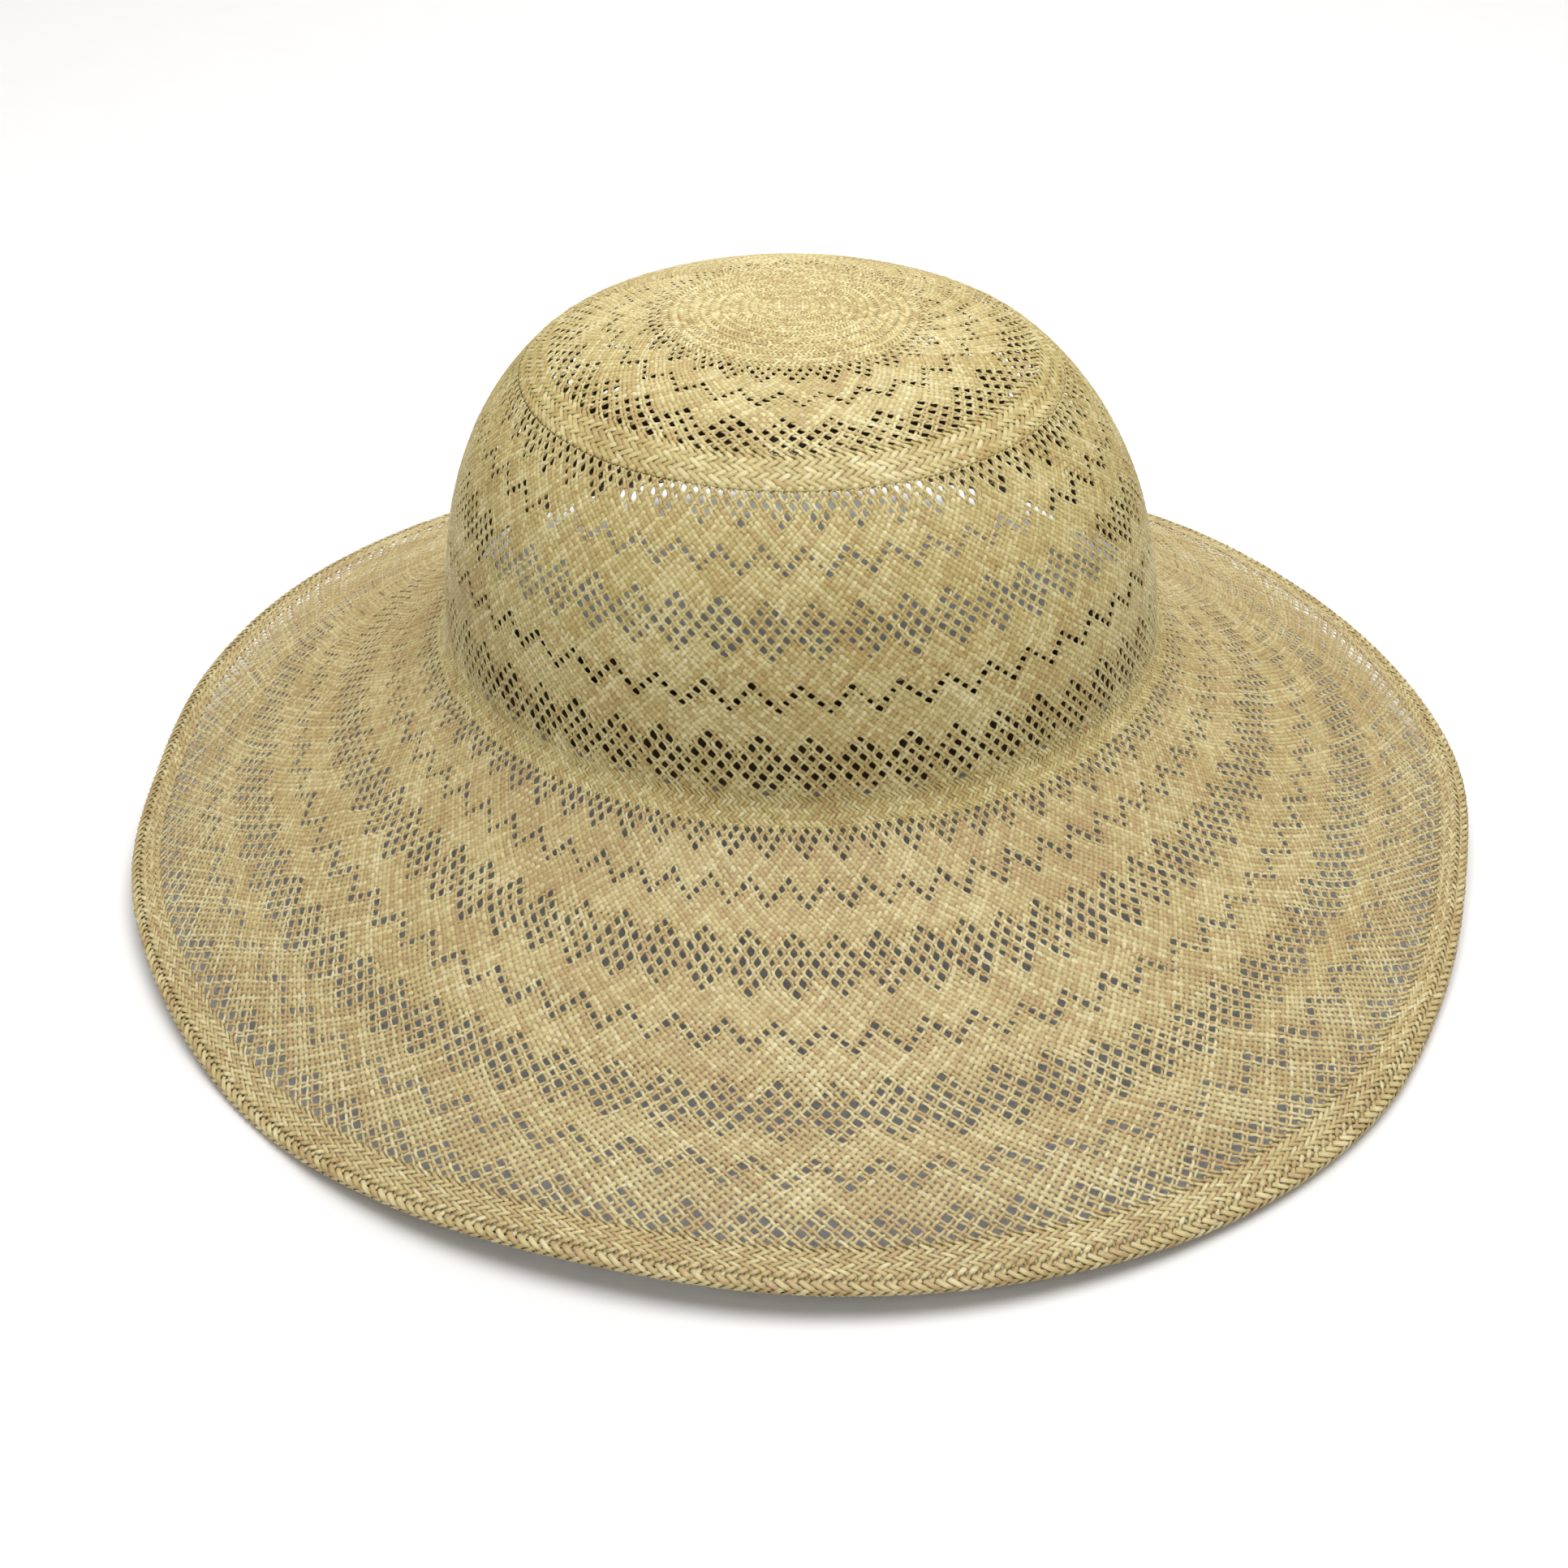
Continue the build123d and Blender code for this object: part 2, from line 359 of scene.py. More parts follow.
def strawMaterial(name, shades, warmth):
    # gives split palm leaf: satin, finely ribbed, each straw its own cream, green or tan
    material, tree = newMaterial(name)
    tone = addNode(tree, "ShaderNodeAttribute", {"attribute_name": "tone"})
    # painted shade on each straw's edges, where it dips under, and on its back, read from the mesh
    paintedShade = addNode(tree, "ShaderNodeAttribute", {"attribute_name": "paintedShade"})
    place = addNode(tree, "ShaderNodeTexCoord")
    uv = addNode(tree, "ShaderNodeUVMap", {"uv_map": "straw"})
    patches = addNode(tree, "ShaderNodeTexNoise", None, {"Vector": place.outputs["Object"]},
                      {"Scale": strawLook["patchScale"], "Detail": 3.0, "Roughness": 0.6})
    flecks = addNode(tree, "ShaderNodeTexNoise", None, {"Vector": place.outputs["Object"]},
                     {"Scale": strawLook["fleckScale"], "Detail": 2.0})
    toneBit = addNode(tree, "ShaderNodeMath", {"operation": "MULTIPLY_ADD"}, {0: tone.outputs["Fac"]},
                      {1: strawLook["own"], 2: strawLook["start"] + warmth})
    patchBit = addNode(tree, "ShaderNodeMath", {"operation": "MULTIPLY_ADD"},
                       {0: patches.outputs["Fac"], 2: toneBit.outputs[0]}, {1: strawLook["patches"]})
    fleckBit = addNode(tree, "ShaderNodeMath", {"operation": "MULTIPLY_ADD"},
                       {0: flecks.outputs["Fac"], 2: patchBit.outputs[0]}, {1: strawLook["flecks"]})
    colour = addNode(tree, "ShaderNodeValToRGB", None, {"Fac": fleckBit.outputs[0]})
    rampColours(colour, list(zip(strawLook["stops"], strawLook[shades])))
    # fibres run the length of each straw
    stretch = addNode(tree, "ShaderNodeMapping", None, {"Vector": uv.outputs["UV"]},
                      {"Scale": (strawLook["fibresAcross"], strawLook["fibresAlong"], 1.0)})
    fibres = addNode(tree, "ShaderNodeTexNoise", None, {"Vector": stretch.outputs["Vector"]},
                     {"Scale": 1.0, "Detail": 3.0, "Roughness": 0.65})
    streak = addNode(tree, "ShaderNodeMapRange", None, {"Value": fibres.outputs["Fac"]},
                     {"From Min": 0.3, "From Max": 0.7, "To Min": 1.0 - strawLook["fibre"],
                      "To Max": 1.0 + strawLook["fibre"] * 0.6})
    # fibre streaks times the painted shade
    depth = addNode(tree, "ShaderNodeMath", {"operation": "MULTIPLY"},
                    {0: streak.outputs["Result"], 1: paintedShade.outputs["Fac"]})
    shade = addNode(tree, "ShaderNodeVectorMath", {"operation": "SCALE"},
                    {0: colour.outputs["Color"], "Scale": depth.outputs["Value"]})
    rough = addNode(tree, "ShaderNodeMapRange", None, {"Value": fibres.outputs["Fac"]},
                    {"To Min": strawLook["roughness"][0], "To Max": strawLook["roughness"][1]})
    bump = addNode(tree, "ShaderNodeBump", None, {"Height": fibres.outputs["Fac"]},
                   {"Strength": 0.35, "Distance": 0.06 * mm})
    surface = addNode(tree, "ShaderNodeBsdfPrincipled", None,
                      {"Base Color": shade.outputs["Vector"], "Roughness": rough.outputs["Result"],
                       "Normal": bump.outputs["Normal"]}, {"Specular IOR Level": 0.5})
    glow = addNode(tree, "ShaderNodeBsdfTranslucent", None, {"Color": shade.outputs["Vector"]})
    mix = addNode(tree, "ShaderNodeMixShader", None, {1: surface.outputs[0], 2: glow.outputs[0]},
                  {"Fac": strawLook["glow"]})
    addNode(tree, "ShaderNodeOutputMaterial", None, {"Surface": mix.outputs[0]})
    return material


crownStraw = strawMaterial("palm straw, crown", "crown", 0.0)
brimStraw = strawMaterial("palm straw, brim", "brim", 0.05)


def strawStations(lattice, family, first, last):
    # where along a straw its cross sections sit, in rows: two at a crossing where it shows, one where it
    # dips under in plain weave away from the openings
    places = [float(first)]
    for row in range(first + 1, last):
        up = float(upAt(lattice, np.array(row)))
        twill = float(upAt(lattice, np.array(row - 1))) == up
        if family * up > 0 or row in lattice["cells"] or twill:
            places += [row - weave["crossing"], row + weave["crossing"]]
        else:
            places.append(float(row))
    places.append(float(last))
    return np.array(places)


def flatStraws(name, count, stations, material):
    # a three sided straw stood along y, its sections one apart, then copied side by side along x
    bm = bmesh.new()
    bmesh.ops.create_circle(bm, cap_ends=False, segments=3, radius=0.3,
                            matrix=Matrix.Rotation(pi / 2, 4, "X"))
    bmesh.ops.spin(bm, geom=bm.verts[:] + bm.edges[:], cent=(0, 0, 0), axis=(1, 0, 0), dvec=(0, 1, 0),
                   angle=0, steps=len(stations) - 1, use_duplicate=False)
    bmesh.ops.holes_fill(bm, edges=[e for e in bm.edges if e.is_boundary])
    bmesh.ops.recalc_face_normals(bm, faces=bm.faces[:])
    piece = meshObject(name, bm, material)
    row = piece.modifiers.new("row", "ARRAY")
    row.use_relative_offset = False
    row.use_constant_offset = True
    row.constant_offset_displace = (1, 0, 0)
    row.count = count
    single = piece.data
    piece.data = bpy.data.meshes.new_from_object(piece.evaluated_get(bpy.context.evaluated_depsgraph_get()))
    piece.data.name = name
    piece.modifiers.clear()
    bpy.data.meshes.remove(single)
    # each point's straw, its section, and its corner: -1 left edge, 0 crown, 1 right edge
    flat = readPoints(piece.data)
    straw = np.round(flat[:, 0]).astype(int)
    station = np.round(flat[:, 1]).astype(int).clip(0, len(stations) - 1)
    corner = np.sign(np.round((flat[:, 0] - straw) * 100))
    return piece, straw, station, corner


def dressStraws(piece, straw, corner, pathLength, tones, dip=None):
    # uv runs across and along each straw, tone is its own shade, and the corner attribute holds painted
    # shade, as a share of the full colour, on the straw's edges, where it dips under and on its back
    mesh = piece.data
    layer = mesh.attributes.new
    cornerPoint = cornerPoints(mesh)
    paintedShade = np.ones(len(cornerPoint))
    if dip is not None:
        # crisp edges keep a straw looking flat
        ends = np.empty(len(mesh.edges) * 2, int)
        mesh.edges.foreach_get("vertices", ends)
        one, two = corner[ends[::2]], corner[ends[1::2]]
        layer("sharp_edge", "BOOLEAN", "EDGE").data.foreach_set("value", (one == two) & (one != 0))
        # faces with no point on the straw's crown are its back
        starts, totals = np.empty(len(mesh.polygons), int), np.empty(len(mesh.polygons), int)
        mesh.polygons.foreach_get("loop_start", starts)
        mesh.polygons.foreach_get("loop_total", totals)
        onCrown = corner[cornerPoint] == 0
        isBack = np.repeat(np.add.reduceat(onCrown.astype(int), starts) == 0, totals)
        # painted shade: darker where the straw dips under a crossing straw, and on its two edges between the
        # straws
        dipped = 1 - (1 - strawLook["dips"]) * dip[cornerPoint]
        face = np.where(onCrown, 1.0, strawLook["edges"]) * dipped
        # painted shade: the straw's back, the inside face of the hat, much darker still
        paintedShade = np.where(isBack, strawLook["back"], face)
    layer("paintedShade", "FLOAT", "CORNER").data.foreach_set("value", paintedShade)
    layer("tone", "FLOAT", "POINT").data.foreach_set("value", tones.astype(float))
    uv = np.stack([corner * 0.5 + straw * strawLook["uvApart"], pathLength], -1)[cornerPoint]
    mesh.uv_layers.new(name="straw").data.foreach_set("uv", uv.ravel())


def strawTones(count, sections, straw, section, whole):
    # one tone for the whole straw, and one that changes along it
    return rng.random(count)[straw] * whole + rng.random((count, sections))[straw, section] * (1 - whole)


def overUnder(up, row):
    # a straw's height at a row, eased from one crossing to the next
    below = np.floor(row).astype(int)
    ease = 0.5 - 0.5 * np.cos(pi * (row - below))
    return up(below) * (1 - ease) + up(below + 1) * ease


def layStraws(piece, straw, station, corner, run, angle, radius, width, over, lift, tones):
    # the two edges stand off the middle line at right angles to the way the straw runs
    goAcross = np.gradient(angle, axis=1) * radius
    goAlong = np.gradient(run, axis=1)
    length = np.hypot(goAcross, goAlong) + 1e-9
    half = corner * width[straw, station] / 2
    crown = np.where(corner == 0, weave["crown"], weave["edge"])
    pointRun = run[straw, station] - half * (goAcross / length)[straw, station]
    pointAngle = angle[straw, station] + half * (goAlong / length)[straw, station] / radius[straw, station]
    movePoints(piece.data, onHat(pointRun, pointAngle, lift[straw, station] + crown))
    # where the straw dips under a crossing straw, which gets painted shade
    dip = (0.5 - 0.5 * over)[straw, station]
    dressStraws(piece, straw, corner, np.cumsum(length, axis=1)[straw, station], tones, dip)


def weaveStraws(name, latticeName, family, first, last, material):
    lattice = lattices[latticeName]
    count = lattice["straws"]
    stations = strawStations(lattice, family, first, last)
    piece, straw, station, corner = flatStraws(name, count, stations, material)

    # middle line of every straw
    index, row = np.meshgrid(np.arange(count), stations, indexing="ij")
    column = index + family * row / 2
    moveColumn, moveRow, near = openingShift(lattice, column, row)
    newColumn, newRow = column + moveColumn, row + moveRow
    run = np.interp(newRow, lattice["fine"], lattice["runs"])
    radius = radiusAt(run)
    angle = newColumn * tau / count + np.interp(newRow, lattice["fine"], lattice["drift"])
    side, along = wander(lattice, angle, run)
    toEnd = np.minimum(newRow - lattice["rows"][0][0], lattice["rows"][-1][0] - newRow)
    ends = np.clip(toEnd / weave["calm"], 0, 1)
    slipRows = np.arange(-20, 120)
    rowSlip = np.interp(row, slipRows, rng.normal(0, weave["slip"], len(slipRows)))
    strawSlip = rng.normal(0, weave["slip"], (count, 1))
    angle = angle + (side * ends + strawSlip + rowSlip) / radius
    run = run + along * ends

    # room for a straw between its neighbours
    step = tau * radius / count
    outer = np.interp(newRow + 0.5, lattice["fine"], lattice["runs"])
    pitch = outer - np.interp(newRow - 0.5, lattice["fine"], lattice["runs"])
    lean = family * step / 2 + weave["skew"] * pitch
    room = step * pitch / np.sqrt(lean ** 2 + pitch ** 2)
    spread, least, most = weave["widths"]
    strawWidth = rng.normal(1.0, spread, (count, 1)).clip(least, most)
    fillRun, fillShare, fillWidest = np.array(weave["fill"]).T
    width = np.minimum(room * np.interp(run, fillRun, fillShare), np.interp(run, fillRun, fillWidest))
    width = width * strawWidth * (1 - weave["pinch"] * np.clip(near * weave["pinchReach"], 0, 1))
    width = np.maximum(width, weave["narrowest"])

    up = overUnder(lambda r: upAt(lattice, r), row)
    lift = family * up * weave["lift"] - weave["depth"] + rng.normal(0, weave["uneven"], (count, 1))
    tones = strawTones(count, len(stations) // 2 + 2, straw, station // 2, 0.62)
    layStraws(piece, straw, station, corner, run, angle, radius, width, family * up, lift, tones)
    return piece


# node: lattice, first row, last row
zones = [
    ("crown_top_weave", "top", -1, 34, crownStraw),
    ("shoulder_band", "top", 34, 46, crownStraw),
    ("upper_side_weave", "side", -1, 25, crownStraw),
    ("middle_side_weave", "side", 25, 42, crownStraw),
    ("lower_side_weave", "side", 42, 73, crownStraw),
    ("crown_base_band", "brim", -12, 0, crownStraw),
    ("inner_brim_weave", "brim", 0, 27, brimStraw),
    ("middle_brim_weave", "brim", 27, 59, brimStraw),
    ("outer_brim_weave", "brim", 59, 97, brimStraw),
    ("rim_band", "brim", 97, 107, brimStraw),
    ("rolled_edge", "brim", 107, 116, brimStraw),
]
totalTriangles = 0
for node, latticeName, first, last, material in zones:
    for family, side in ((1, "right"), (-1, "left")):
        # each family is cut where it passes under, so the ends are hidden
        wrong = 0 if family == 1 else 1
        start = first + (1 if first % 2 == wrong and first > lattices[latticeName]["rows"][0][0] else 0)
        stop = last + (1 if last % 2 == wrong and last < lattices[latticeName]["rows"][-1][0] else 0)
        piece = weaveStraws(f"{node}_straws_{side}", latticeName, family, start, stop, material)
        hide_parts(node)
        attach(piece, "root")
        totalTriangles += sum(len(p.vertices) - 2 for p in piece.data.polygons)
print("weave ready,", totalTriangles, "triangles")


# the tight disc at the very top, lengths in mm
button = {
    "rings": [(4.0, 9.4, 40), (9.0, 16.9, 64), (16.4, 25.4, 96), (24.9, 34.6, 134)],  # from, to, straws
    "pitch": 0.68,  # between rows
    "fill": 0.98, "widest": 1.2,
    "widths": (0.07, 0.8, 1.2),  # spread of the straws' own widths, and the least and the most
    "swirl": 0.02,  # radians
    "spiral": 0.35, "ripple": 0.12, "shift": 0.04,  # how far rows stray: once round, five times round, anyhow
    "patch": 9,  # straws each way in the square start
    "patchStep": 1.05, "patchHalf": 0.49, "patchReach": 4.9, "patchRagged": 0.2, "patchLift": 0.05,
}


def buttonRing(name, start, end, straws, family):
    rows = int(round((end - start) / button["pitch"]))
    stations = np.arange(0, rows + 0.01, 0.5)
    piece, straw, station, corner = flatStraws(name, straws, stations, crownStraw)
    index, row = np.meshgrid(np.arange(straws), stations, indexing="ij")
    run = start + row * (end - start) / rows
    angle = (index + family * row / 2) * tau / straws + button["swirl"] * np.sin(run)
    # the rings are laid in a slow spiral
    spiral = button["spiral"] * np.sin(angle + 0.6) + button["ripple"] * np.sin(5 * angle + start)
    run = run + spiral + rng.normal(0, button["shift"], run.shape)
    radius = radiusAt(run)
    step = tau * radius / straws
    pitch = (end - start) / rows
    room = step * pitch / np.sqrt((step / 2) ** 2 + pitch ** 2)
    spread, least, most = button["widths"]
    strawWidth = rng.normal(1.0, spread, (straws, 1)).clip(least, most)
    width = np.minimum(room * button["fill"], button["widest"]) * strawWidth
    over = family * overUnder(lambda r: np.where((r // 2) % 2 == 0, 1.0, -1.0), row)
    lift = over * weave["lift"] - weave["depth"]
    tones = strawTones(straws, len(stations), straw, station, 0.8)
    layStraws(piece, straw, station, corner, run, angle, radius, width, over, lift, tones)
    return piece


def buttonStart(name, turn):
    # the first few straws, plaited square, one of the two layers
    count = button["patch"]
    stations = np.arange(0, count - 0.49, 0.5)
    piece, straw, station, corner = flatStraws(name, count, stations, crownStraw)
    middle = (count - 1) / 2
    across = (straw - middle) * button["patchStep"] + corner * button["patchHalf"]
    along = (stations[station] - middle) * button["patchStep"]
    over = np.cos(pi * (stations[station] + straw + turn))
    lift = over * weave["lift"] - weave["depth"] + np.where(corner == 0, weave["crown"], weave["edge"])
    x, y = (across, along) if turn else (along, -across)
    reach = np.hypot(x, y)
    most = button["patchReach"] + button["patchRagged"] * np.sin(straw * 2.3)
    keep = np.minimum(reach, most) / np.maximum(reach, 0.01)
    movePoints(piece.data, onHat(np.hypot(x * keep, y * keep), np.arctan2(y, x), lift + button["patchLift"]))
    # the last argument marks where each straw dips under, for painted shade
    dressStraws(piece, straw, corner, along, rng.random(count)[straw], 0.5 - 0.5 * over)
    return piece


buttonPieces = []
for ring, (start, end, straws) in enumerate(button["rings"], 1):
    for family, side in ((1, "right"), (-1, "left")):
        buttonPieces.append(buttonRing(f"button_ring_{ring}_{side}", start, end, straws, family))
for turn, side in ((0, "first"), (1, "second")):
    buttonPieces.append(buttonStart(f"button_start_{side}", turn))
for piece in buttonPieces:
    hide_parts("crown_button")
    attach(piece, "root")
print("button ready")


# the gathered straw ends inside the rolled edge, lengths in mm
edge = {"core": 0.62, "run": 268.1, "inward": 0.9, "depth": 1.55, "steps": 540}


def edgeCore():
    bm = bmesh.new()
    radius = float(radiusAt(edge["run"]))
    bmesh.ops.create_circle(bm, cap_ends=False, segments=8, radius=edge["core"],
                            matrix=Matrix.Translation((radius, 0, 0)) @ Matrix.Rotation(pi / 2, 4, "X"))
    bmesh.ops.spin(bm, geom=bm.verts[:] + bm.edges[:], cent=(0, 0, 0), axis=(0, 0, 1), dvec=(0, 0, 0),
                   angle=tau, steps=edge["steps"], use_merge=True, use_duplicate=False)
    bmesh.ops.recalc_face_normals(bm, faces=bm.faces[:])
    piece = meshObject("rolled_edge_core", bm, brimStraw)
    flat = readPoints(piece.data)
    angle = np.arctan2(flat[:, 1], flat[:, 0])
    out = np.hypot(flat[:, 0], flat[:, 1]) - radius
    run = np.full(len(flat), edge["run"] - edge["inward"])
    centre = onHat(run, angle, np.full(len(flat), -edge["depth"]))
    centre += np.stack([out * np.cos(angle), out * np.sin(angle), flat[:, 2]], -1) * mm
    movePoints(piece.data, centre)
    dressStraws(piece, flat[:, 2], out, angle * radius, rng.random(len(flat)) * 0.4 + 0.5)
    return piece


core = edgeCore()
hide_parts("rolled_edge")
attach(core, "root")
print("edge ready")


# the ribbon inside the head opening, lengths in mm
band = {
    "dark": "#54402C", "colour": "#65503A",
    "innerRadius": 92.508, "thickness": 0.6, "middleRadius": 92.9,
    "hem": 0.4, "hemInset": 0.6, "flareHeight": 4.2, "flareSteps": 5, "flareCurve": 1.7, "topGap": 0.2,
    "wallSteps": 7, "turnSteps": 360,
    "ripples": [(0.16, 9, 1.0), (0.12, 23, 0.0)],  # how far in and out, times round, start
    "topWave": (0.2, 6),  # how far up and down, times round
    "ribPitch": 6.91,  # broad soft ribs
    "flat": (0.0315, 0.5837),  # metres
}


def ribbonMaterial():
    # gives a matt ribbon with broad soft ribs
    material, tree = newMaterial("grosgrain ribbon")
    place = addNode(tree, "ShaderNodeTexCoord")
    ribs = addNode(tree, "ShaderNodeTexWave", {"wave_type": "BANDS", "bands_direction": "X"},
                   {"Vector": place.outputs["UV"]}, {"Scale": 1.0, "Distortion": 0.15})
    blotch = addNode(tree, "ShaderNodeTexNoise", None, {"Vector": place.outputs["Object"]},
                     {"Scale": 60.0, "Detail": 3.0})
    colour = addNode(tree, "ShaderNodeValToRGB", None, {"Fac": blotch.outputs["Fac"]})
    rampColours(colour, [(0.3, band["dark"]), (0.7, band["colour"])])
    bump = addNode(tree, "ShaderNodeBump", None, {"Height": ribs.outputs["Fac"]},
                   {"Strength": 0.6, "Distance": 0.2 * mm})
    surface = addNode(tree, "ShaderNodeBsdfPrincipled", None,
                      {"Base Color": colour.outputs["Color"], "Normal": bump.outputs["Normal"]},
                      {"Roughness": 0.8})
    addNode(tree, "ShaderNodeOutputMaterial", None, {"Surface": surface.outputs[0]})
    return material


def sweatbandRibbon():
    low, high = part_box("sweatband")
    hemRadius = high.x - band["hemInset"] * mm
    hemHeight = low.z + band["hem"] * mm
    wallRadius = (band["innerRadius"] + band["thickness"] * 0.75) * mm
    wallHeight = hemHeight + band["flareHeight"] * mm
    topHeight = high.z - band["topGap"] * mm
    bm = bmesh.new()
    profile = [bmesh.ops.create_vert(bm, co=(hemRadius, 0, hemHeight))["vert"][0]]
    for step in range(1, band["flareSteps"] + 1):
        turn = step / band["flareSteps"]
        r = hemRadius + (wallRadius - hemRadius) * (1 - (1 - turn) ** band["flareCurve"])
        point = (r, 0, hemHeight + (wallHeight - hemHeight) * turn)
        profile.append(bmesh.ops.create_vert(bm, co=point)["vert"][0])
    for step in range(1, band["wallSteps"] + 1):
        point = (wallRadius, 0, wallHeight + (topHeight - wallHeight) * step / band["wallSteps"])
        profile.append(bmesh.ops.create_vert(bm, co=point)["vert"][0])
    for a, b in zip(profile, profile[1:]):
        bmesh.ops.contextual_create(bm, geom=[a, b])
    bmesh.ops.spin(bm, geom=bm.verts[:] + bm.edges[:], cent=(0, 0, 0), axis=(0, 0, 1), dvec=(0, 0, 0),
                   angle=tau, steps=band["turnSteps"], use_merge=True, use_duplicate=False)
    bmesh.ops.recalc_face_normals(bm, faces=bm.faces[:])
    piece = meshObject("sweatband_grosgrain", bm, ribbonMaterial())
    # worn a little out of true towards its free top edge
    flat = readPoints(piece.data)
    angle = np.arctan2(flat[:, 1], flat[:, 0])
    share = (flat[:, 2] - low.z) / (high.z - low.z)
    out = np.hypot(flat[:, 0], flat[:, 1])
    for size, times, start in band["ripples"]:
        out += size * np.sin(times * angle + start) * share * mm
    size, times = band["topWave"]
    height = flat[:, 2] + size * np.sin(times * angle) * share * mm
    movePoints(piece.data, np.stack([out * np.cos(angle), out * np.sin(angle), height], -1))
    # the wave pattern repeats every tenth of pi along u
    uv = np.stack([angle * band["middleRadius"] / band["ribPitch"] * pi / 10, height / mm], -1)
    piece.data.uv_layers.new(name="ribbon").data.foreach_set("uv", uv[cornerPoints(piece.data)].ravel())
    solid = piece.modifiers.new("thickness", "SOLIDIFY")
    solid.thickness = band["thickness"] * mm
    solid.offset = 0
    return piece


sweatband = sweatbandRibbon()
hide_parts("sweatband")
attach(sweatband, "root")

# the thread that holds the ribbon
stitch = {"light": "#CFC29C", "dark": "#B59C74", "count": 72, "radius": 0.3, "stretch": 6.0, "slant": 14}


def threadMaterial():
    # gives a light twisted cotton thread
    material, tree = newMaterial("cotton thread")
    place = addNode(tree, "ShaderNodeTexCoord")
    twist = addNode(tree, "ShaderNodeTexNoise", None, {"Vector": place.outputs["Object"]},
                    {"Scale": 900.0, "Detail": 1.0})
    colour = addNode(tree, "ShaderNodeValToRGB", None, {"Fac": twist.outputs["Fac"]})
    rampColours(colour, [(0.35, stitch["light"]), (0.65, stitch["dark"])])
    surface = addNode(tree, "ShaderNodeBsdfPrincipled", None, {"Base Color": colour.outputs["Color"]},
                      {"Roughness": 0.7})
    addNode(tree, "ShaderNodeOutputMaterial", None, {"Surface": surface.outputs[0]})
    return material


def sewnStitches():
    low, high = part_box("sweatband_stitches")
    place = Matrix.Translation((high.x - stitch["radius"] * mm, 0, (low.z + high.z) / 2))
    slant = Matrix.Rotation(radians(stitch["slant"]), 4, "X")
    bm = bmesh.new()
    bmesh.ops.create_uvsphere(bm, u_segments=8, v_segments=6, radius=stitch["radius"] * mm,
                              matrix=place @ slant @ Matrix.Diagonal((1, stitch["stretch"], 1, 1)))
    copies = stitch["count"] - 1
    bmesh.ops.spin(bm, geom=bm.verts[:] + bm.edges[:] + bm.faces[:], cent=(0, 0, 0), axis=(0, 0, 1),
                   dvec=(0, 0, 0), angle=tau * copies / stitch["count"], steps=copies, use_duplicate=True)
    piece = meshObject("sweatband_stitches_sewn", bm, threadMaterial())
    movePoints(piece.data, readPoints(piece.data))
    return piece


stitches = sewnStitches()
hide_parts("sweatband_stitches")
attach(stitches, "root")
print("sweatband ready")


studio = {
    "floor": ("#ECEBEA", "#EFEEED"), "floorHalf": 2.6,
    "world": "#FFFFFF", "seen": 1.0, "lit": 0.04,  # seen white, but it lights the hat little
    # place, target, size in metres, and watts
    "lights": {
        "overhead": ((0.1, 0.0, 1.6), (0, 0, 0.05), 1.4, 25),
        "front right": ((0.9, -1.3, 1.5), (0, 0, 0.05), 1.0, 6),
        "front left": ((-0.9, -1.3, 1.5), (0, 0, 0.05), 1.0, 5),
        "front low": ((-0.2, -2.0, 0.42), (0, 0, 0.02), 1.3, 3),
        "left": ((-1.5, 0.2, 1.3), (0, 0, 0.05), 1.0, 5.5),
        "right": ((1.5, 0.3, 1.3), (0, 0, 0.05), 1.0, 6.5),
        "backdrop": ((0, 3.0, 1.9), (0, 3.4, 0), 2.4, 80),
    },
}


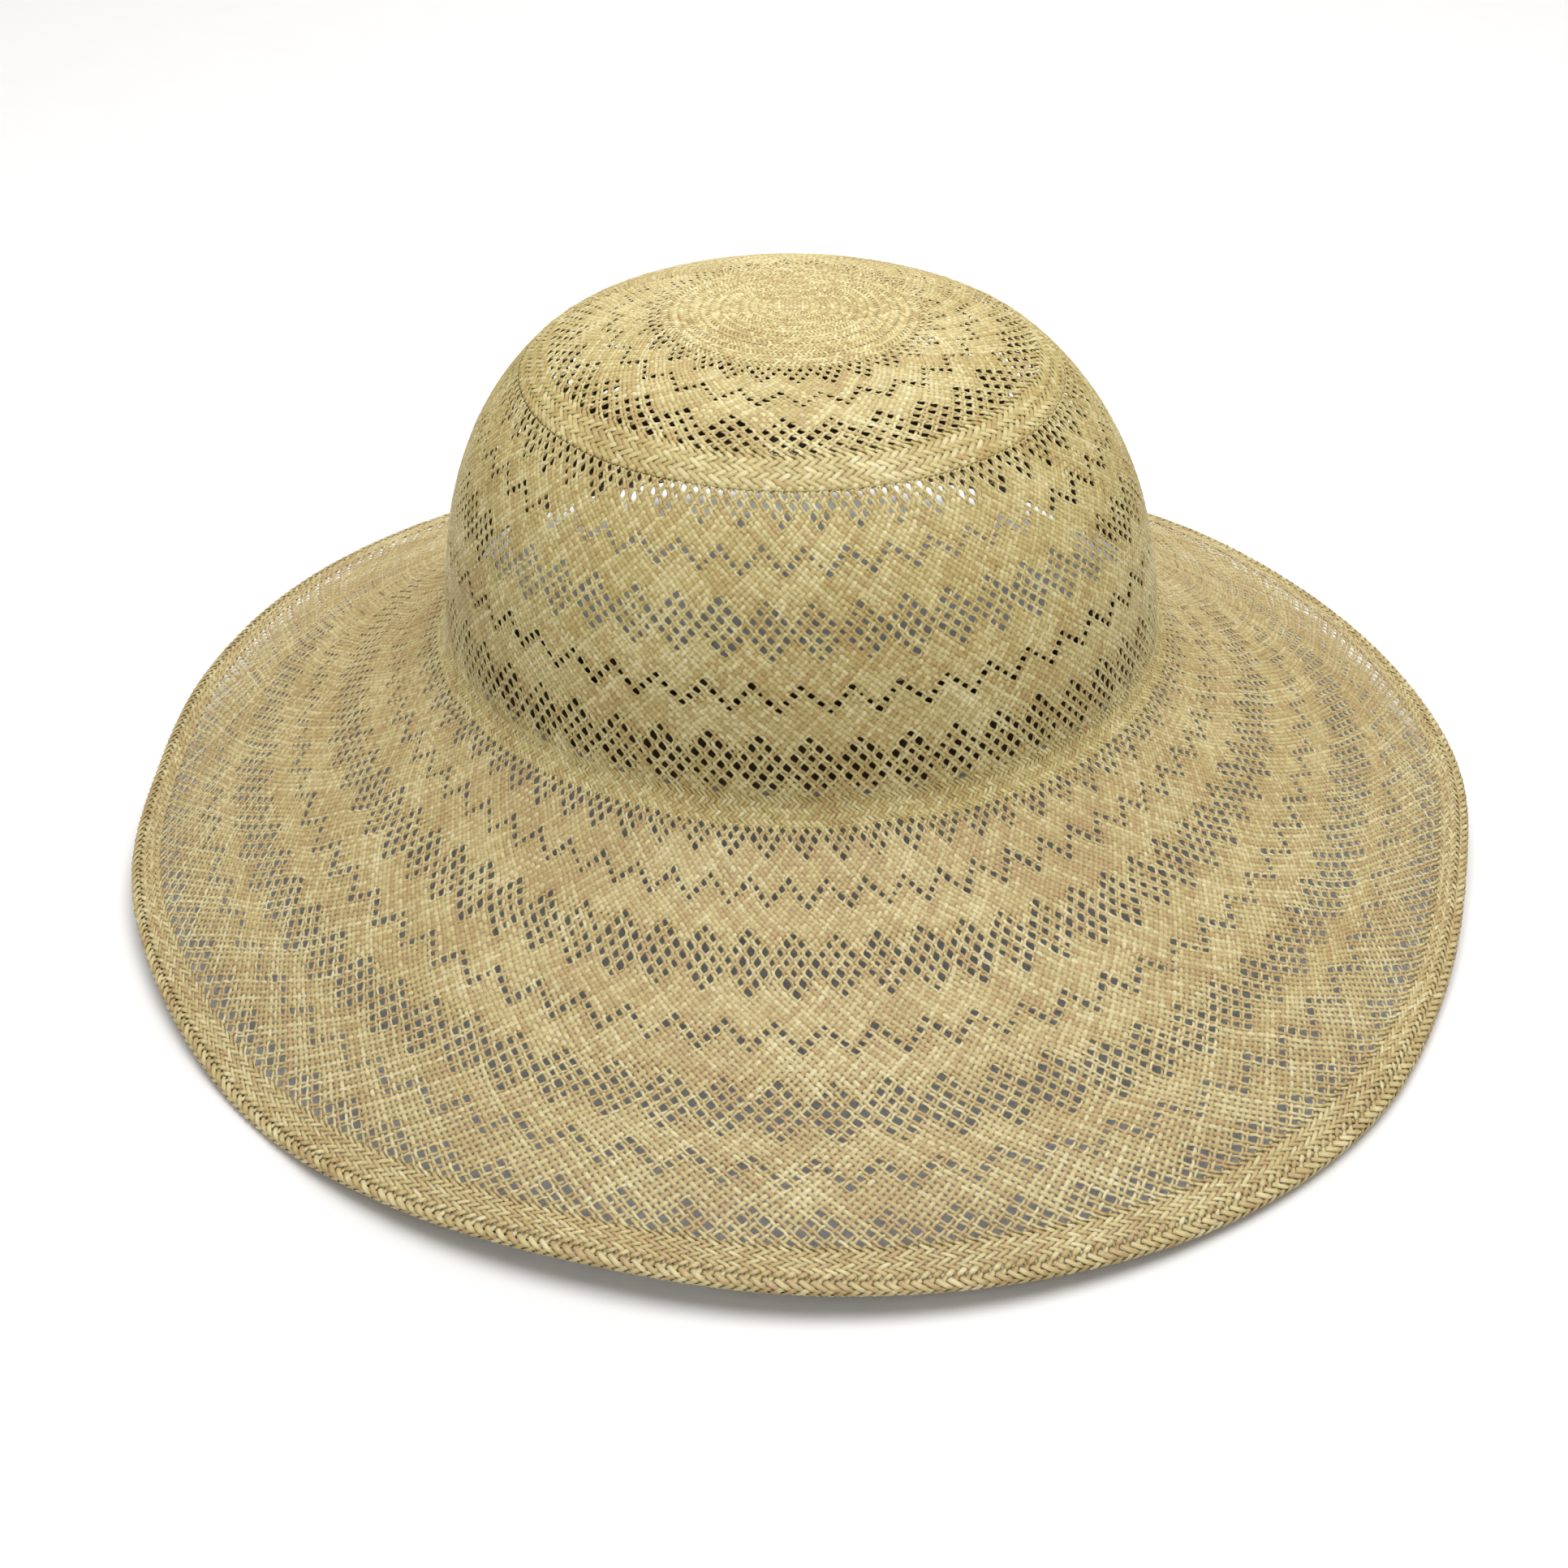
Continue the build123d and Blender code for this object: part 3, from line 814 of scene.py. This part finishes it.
def floorMaterial():
    # gives plain white paper
    material, tree = newMaterial("white paper")
    place = addNode(tree, "ShaderNodeTexCoord")
    grain = addNode(tree, "ShaderNodeTexNoise", None, {"Vector": place.outputs["Object"]}, {"Scale": 30.0})
    colour = addNode(tree, "ShaderNodeValToRGB", None, {"Fac": grain.outputs["Fac"]})
    rampColours(colour, [(0.0, studio["floor"][0]), (1.0, studio["floor"][1])])
    surface = addNode(tree, "ShaderNodeBsdfPrincipled", None, {"Base Color": colour.outputs["Color"]},
                      {"Roughness": 0.9})
    addNode(tree, "ShaderNodeOutputMaterial", None, {"Surface": surface.outputs[0]})
    return material


visualLow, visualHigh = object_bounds()
bm = bmesh.new()
bmesh.ops.create_grid(bm, x_segments=1, y_segments=1, size=studio["floorHalf"],
                      matrix=Matrix.Translation((0, 0, visualLow.z - 0.2 * mm)))
floor = meshObject("floor", bm, floorMaterial())

world = bpy.data.worlds.new("studio")
world.use_nodes = True
world.node_tree.nodes.clear()
rays = addNode(world.node_tree, "ShaderNodeLightPath")
strength = addNode(world.node_tree, "ShaderNodeMapRange", None, {"Value": rays.outputs["Is Camera Ray"]},
                   {"To Min": studio["lit"], "To Max": studio["seen"]})
sky = addNode(world.node_tree, "ShaderNodeBackground", None, {"Strength": strength.outputs["Result"]},
              {"Color": linear(studio["world"])})
addNode(world.node_tree, "ShaderNodeOutputWorld", None, {"Surface": sky.outputs[0]})
bpy.context.scene.world = world
bpy.context.scene.view_settings.view_transform = "Standard"

for name, (place, target, size, power) in studio["lights"].items():
    light = bpy.data.lights.new(name, "AREA")
    light.shape = "DISK"
    light.size = size
    light.energy = power
    lamp = bpy.data.objects.new(name, light)
    lamp.location = place
    lamp.rotation_euler = (Vector(target) - Vector(place)).to_track_quat("-Z", "Y").to_euler()
    bpy.context.collection.objects.link(lamp)

# lengths in mm, the camera looks down past a point above the middle of the floor
view = {"elevation": 35.2, "distance": 600.0, "side": -4.93, "up": -54.97, "foot": 62.23, "lens": 48.45}
tilt = radians(view["elevation"])
ahead, above = Vector((0, cos(tilt), -sin(tilt))), Vector((0, sin(tilt), cos(tilt)))
cameraData = bpy.data.cameras.new("camera")
cameraData.lens = view["lens"]
cameraData.sensor_width = 36
camera = bpy.data.objects.new("camera", cameraData)
camera.location = (Vector((0, 0, view["foot"])) - ahead * view["distance"] + above * view["up"]
                   + Vector((view["side"], 0, 0))) * mm
camera.rotation_euler = ahead.to_track_quat("-Z", "Y").to_euler()
bpy.context.collection.objects.link(camera)
bpy.context.scene.camera = camera

print("scene ready", [round(v, 4) for v in (*visualLow, *visualHigh)])
